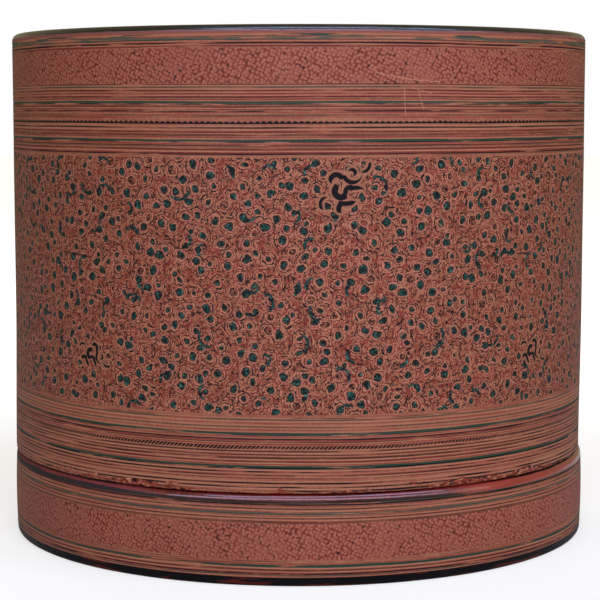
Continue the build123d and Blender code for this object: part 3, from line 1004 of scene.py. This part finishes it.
def lidMouth():
    low, high = 32.0, 36.5
    heights = [low + rise for rise in (0.9, 1.3, 1.7, 2.2, 2.8, 3.6)]
    bm = hoopMesh(107, 110, low, high, mouthShape["steps"], heights)
    roundEdge(bm, 110, low, 0.5, 3)
    roundEdge(bm, 107, low, 0.4, 2)
    for vert in bm.verts:
        rise = vert.co.z / millimetre - low
        turn = math.degrees(turnOf(vert.co))
        worn = 0.4 + 0.6 * max(math.exp(-((turn - middle) / wide) ** 2) for middle, wide in mouthShape["worn"])
        around = Vector((vert.co.x, vert.co.y, 0))
        bite = noise.noise(around * 160) + 0.7 * noise.noise(around * 620) + 0.2 * noise.noise(vert.co * 900) - 0.1
        chip = max(bite, 0) * worn * (1 - smoothly(rise, 0.4, 1.2 + mouthShape["chipRise"] * worn))
        outer = vert.co.xy.length > 0.1085
        shiftOut(vert, lidWander(vert.co) - (chip * mouthShape["chipDepth"] if outer else 0))
    return pieceFrom(bm, "lid_mouth", "lid", ["mouth", "red"], ["lid_mouth_hoop"], 108.5)


lidWallPiece("lid_upper_bands", upperBands, "upper", 3.0)
lidWallPiece("lid_dot_field", dotField, "field", 4.0)
lidWallPiece("lid_lower_bands", lowerBands, "lower", 3.0)
lidTop()
lidMouth()
print("lid turned")


# Base: collar, the ledge that the lid rests on, and foot

collarShape = {"low": 3.2, "high": 28.8, "bore": 108.15, "reach": 110.35, "belly": 0.3, "ripple": 0.05}


def collarSkin():
    shape = collarShape
    low, high = shape["low"], shape["high"]
    grooves = [line[0] for line in collarBands["lines"] if line[1] > 0.7]
    heights = evenly(low, high, 2.1) + [middle + shift for middle in grooves for shift in (-0.5, 0, 0.5)]
    bm = hoopMesh(shape["bore"], shape["reach"], low, high, 360, heights)
    for vert in bm.verts:
        if vert.co.xy.length < 0.1095:
            continue
        height = vert.co.z / millimetre
        share = (height - low) / (high - low)
        groove = 0.09 if any(abs(height - middle) < 0.05 for middle in grooves) else 0.0
        ripple = shape["ripple"] * (noise.noise(vert.co / (24 * millimetre)) - 1)
        shiftOut(vert, 4 * shape["belly"] * share * (1 - share) + ripple - groove)
    return pieceFrom(bm, "collar_skin", "body", ["collar"], ["collar_band"])


ledgeShape = {"low": 28.8, "high": 32.0, "bore": 106.2, "reach": 110.35, "rounding": 2.6, "ripple": 0.1}


def collarLedge():
    shape = ledgeShape
    bm = hoopMesh(shape["bore"], shape["reach"], shape["low"], shape["high"], 480)
    roundEdge(bm, shape["reach"], shape["high"], shape["rounding"], 7)
    for vert in bm.verts:
        if vert.co.xy.length < 0.1072:
            continue
        rise = smoothly(vert.co.z / millimetre, shape["low"], shape["low"] + 0.6)
        ripple = 0.5 * noise.noise(vert.co * 60) + 0.25 * noise.noise(vert.co * 240) - 0.6
        shiftOut(vert, shape["ripple"] * ripple * rise)
        vert.co.z += shape["ripple"] * 0.5 * (ripple - 0.3) * rise * millimetre
    return pieceFrom(bm, "collar_ledge", "body", ["ledge"], ["collar_shoulder"])


footShape = {"low": 0.0, "high": 3.2, "bore": 93.35, "reach": 110.35, "rounding": 1.3, "ripple": 0.16}


def footRing():
    shape = footShape
    bm = hoopMesh(shape["bore"], shape["reach"], shape["low"], shape["high"], 480, [1.9, 2.5])
    roundEdge(bm, shape["reach"], shape["low"], shape["rounding"], 4)
    roundEdge(bm, shape["bore"], shape["low"], 0.5, 2)
    for vert in bm.verts:
        rubbed = 0.5 * noise.noise(vert.co * 45) + 0.3 * noise.noise(vert.co * 260) - 0.7
        top = 1 - smoothly(vert.co.z / millimetre, 2.6, 3.2)
        if vert.co.xy.length > 0.1:
            shiftOut(vert, shape["ripple"] * rubbed * top)
    return pieceFrom(bm, "foot", "body", ["foot"], ["foot_ring"])


collarSkin()
collarLedge()
footRing()
print("collar and foot turned")


# Body wall and trays: thin walls of wound bamboo strip, whose ridges show through the lacquer

wallShape = {"bore": 103.4, "reach": 106.2, "strip": 4.0, "ridge": 0.05, "ripple": 0.04, "steps": 240}


def woundWall(name, body, finishNames, replaced, low, high):
    shape = wallShape
    bm = hoopMesh(shape["bore"], shape["reach"], low, high, shape["steps"], evenly(low, high, 1.0))
    for vert in bm.verts:
        turn = turnOf(vert.co)
        wound = vert.co.z / millimetre + shape["strip"] * turn / (2 * math.pi)
        ridge = shape["ridge"] * (math.cos(2 * math.pi * wound / shape["strip"]) - 1)
        ripple = shape["ripple"] * (noise.noise(vert.co / (18 * millimetre)) - 1)
        outer = vert.co.xy.length > (shape["bore"] + shape["reach"]) / 2 * millimetre
        shiftOut(vert, ridge + ripple if outer else -ridge - ripple)
    return pieceFrom(bm, name, body, finishNames, replaced, (shape["bore"] + shape["reach"]) / 2)


rimShape = {"height": 3.4, "rounding": 0.7, "wear": 0.12}


def rimHoop(name, body, replaced, top):
    bm = hoopMesh(wallShape["bore"], wallShape["reach"], top - rimShape["height"], top, 480, [top - 2.4, top - 1.4])
    roundEdge(bm, wallShape["bore"], top, rimShape["rounding"], 4)
    roundEdge(bm, wallShape["reach"], top, rimShape["rounding"], 4)
    for vert in bm.verts:
        outer = vert.co.xy.length > 0.1048
        worn = 0.5 * noise.noise(vert.co * 70) + 0.4 * noise.noise(vert.co * 300) - 0.8
        rise = smoothly(vert.co.z / millimetre, top - 3.2, top - 2.2)
        shiftOut(vert, rimShape["wear"] * worn * rise * (1 if outer else -1))
        vert.co.z += 0.5 * rimShape["wear"] * worn * smoothly(vert.co.z / millimetre, top - 1, top) * millimetre
    return pieceFrom(bm, name, body, ["black"], replaced)


floorShape = {"reach": 100.7, "thickness": 3.0, "coil": 5.0, "ridge": 0.09}


# A tray's floor is a flat coil of bamboo under its lacquer
def trayFloor(name, body, replaced, low):
    high = low + floorShape["thickness"]
    rings = [floorShape["reach"] * step / 72 for step in range(73)]
    outline = [(reach, high) for reach in rings] + [(floorShape["reach"], low), (0, low)]
    bm = turnedMesh(outline, 160, closed=False)
    for vert in bm.verts:
        reach = vert.co.xy.length / millimetre
        if vert.co.z < (low + 1) * millimetre or reach > floorShape["reach"] - 1:
            continue
        wound = reach + floorShape["coil"] * turnOf(vert.co) / (2 * math.pi)
        ridge = floorShape["ridge"] * (math.cos(2 * math.pi * wound / floorShape["coil"]) - 1)
        vert.co.z += (ridge + 0.12 * (noise.noise(vert.co * 30) - 1)) * millimetre
    return pieceFrom(bm, name, body, ["red"], replaced)


woundWall("body_inner_wall", "body", ["red", "red"], ["body_wall"], 7.2, 125.6)
rimHoop("body_rim", "body", ["body_rim_hoop"], 129.0)
for name, seat in (("lower_tray", 129.0), ("upper_tray", 155.0)):
    woundWall(name + "_side", name, ["tray", "red"], [name + "_band"], seat + 3, seat + 22.6)
    rimHoop(name + "_rim", name, [name + "_rim_hoop"], seat + 26)
    trayFloor(name + "_plate", name, [name + "_floor"], seat - 10)
print("body and trays turned")


# The pieces that stay as they were built get their lacquer

nodeFinishes = {
    "lid_corner_hoop": "red", "base_disc": "foot", "collar_core": "bamboo",
    "lower_tray_step": "red", "upper_tray_step": "red", "lower_tray_plug": "red", "upper_tray_plug": "red",
}
for name, finishName in nodeFinishes.items():
    nodes[name].data.materials.clear()
    nodes[name].data.materials.append(materials[finishName])


# Studio

studio = {
    "cameraPlace": (0.0005, -0.7411, 0.1615), "cameraDown": 5.748, "lens": 113.75,
    "ambient": 0.26, "ambientTint": (1.0, 0.86, 0.5, 1), "floorColour": (0.52, 0.505, 0.47, 1),
    "glowNear": 0.56, "glowFar": 0.87,
}


def setCamera():
    camera = bpy.data.cameras.new("camera")
    camera.lens = studio["lens"]
    camera.sensor_width = 36
    camera.clip_start = 0.01
    holder = bpy.data.objects.new("camera", camera)
    holder.location = studio["cameraPlace"]
    holder.rotation_euler = (math.radians(90 - studio["cameraDown"]), 0, 0)
    bpy.context.scene.collection.objects.link(holder)
    bpy.context.scene.camera = holder


def areaLight(name, place, target, size, watts, colour=(1, 1, 1), mirrored=True, lighting=True):
    light = bpy.data.lights.new(name, "AREA")
    light.shape = "RECTANGLE"
    light.size, light.size_y = size
    light.energy = watts
    light.color = colour
    holder = bpy.data.objects.new(name, light)
    holder.location = place
    holder.rotation_euler = (Vector(target) - Vector(place)).to_track_quat("-Z", "Y").to_euler()
    holder.visible_glossy = mirrored
    holder.visible_diffuse = lighting
    bpy.context.scene.collection.objects.link(holder)


# A soft even light with a trace of warmth. The camera sees it as white
def setWorld():
    world = bpy.data.worlds.new("studio")
    bpy.context.scene.world = world
    world.use_nodes = True
    sheet = Sheet(world.node_tree)
    world.node_tree.nodes.clear()
    seen = sheet.node("ShaderNodeLightPath").outputs["Is Camera Ray"]
    strength = sheet.calc("ADD", sheet.calc("MULTIPLY", seen, 1 - studio["ambient"]), studio["ambient"])
    colour = sheet.mix(seen, studio["ambientTint"], (1, 1, 1, 1))
    background = sheet.node("ShaderNodeBackground", {"Color": colour, "Strength": strength})
    output = sheet.node("ShaderNodeOutputWorld")
    sheet.plug(background.outputs[0], output.inputs[0])


# A pale floor that keeps the box's shadow and fades to white away from it
def setFloor():
    bm = bmesh.new()
    bmesh.ops.create_circle(bm, cap_ends=True, segments=96, radius=6.0)
    mesh = bpy.data.meshes.new("floor")
    bm.to_mesh(mesh)
    bm.free()
    floor = bpy.data.objects.new("floor", mesh)
    floor.location.z = -0.00005
    bpy.context.scene.collection.objects.link(floor)
    material, sheet, shader = newMaterial("floorPaint")
    shader.inputs["Base Color"].default_value = studio["floorColour"]
    shader.inputs["Roughness"].default_value = 0.9
    shader.inputs["Specular IOR Level"].default_value = 0.1
    shader.inputs["Emission Color"].default_value = (1, 1, 1, 1)
    seen = sheet.node("ShaderNodeLightPath").outputs["Is Camera Ray"]
    away = sheet.vector("LENGTH", sheet.node("ShaderNodeTexCoord").outputs["Object"])
    far = sheet.calc("MULTIPLY", sheet.ease(away, 0.12, 0.7), studio["glowFar"] - studio["glowNear"])
    glow = sheet.calc("ADD", far, studio["glowNear"])
    sheet.plug(sheet.calc("MULTIPLY", seen, glow), shader.inputs["Emission Strength"])
    mesh.materials.append(material)


setCamera()
setWorld()
setFloor()
areaLight("key", (0.22, -1.5, 0.75), (0, 0, 0.1), (1.1, 0.9), 16.6, (0.96, 0.94, 0.96), mirrored=False)
areaLight("panel", (0.1, -1.5, 0.72), (0, 0, 0.1), (4.4, 0.5), 34, (0.62, 0.7, 1.0), lighting=False)
areaLight("lamp", (-1.3, -0.6, 0.5), (0, 0, 0.1), (0.5, 0.5), 0.4, (1.0, 0.78, 0.5))
areaLight("sky", (0.2, -0.72, 1.45), (0, 0, 0.1), (2.4, 0.36), 17.5, (0.42, 0.6, 1.0))
areaLight("window", (1.5, -0.55, 0.55), (0, 0, 0.14), (0.5, 0.9), 1.7, (1.0, 0.9, 0.78))
areaLight("fill", (-0.2, 1.3, 1.3), (0, 0, 0.1), (1.4, 1.0), 10, (1.0, 0.94, 0.86), mirrored=False)
bpy.context.scene.view_settings.view_transform = "Standard"
print("studio set")
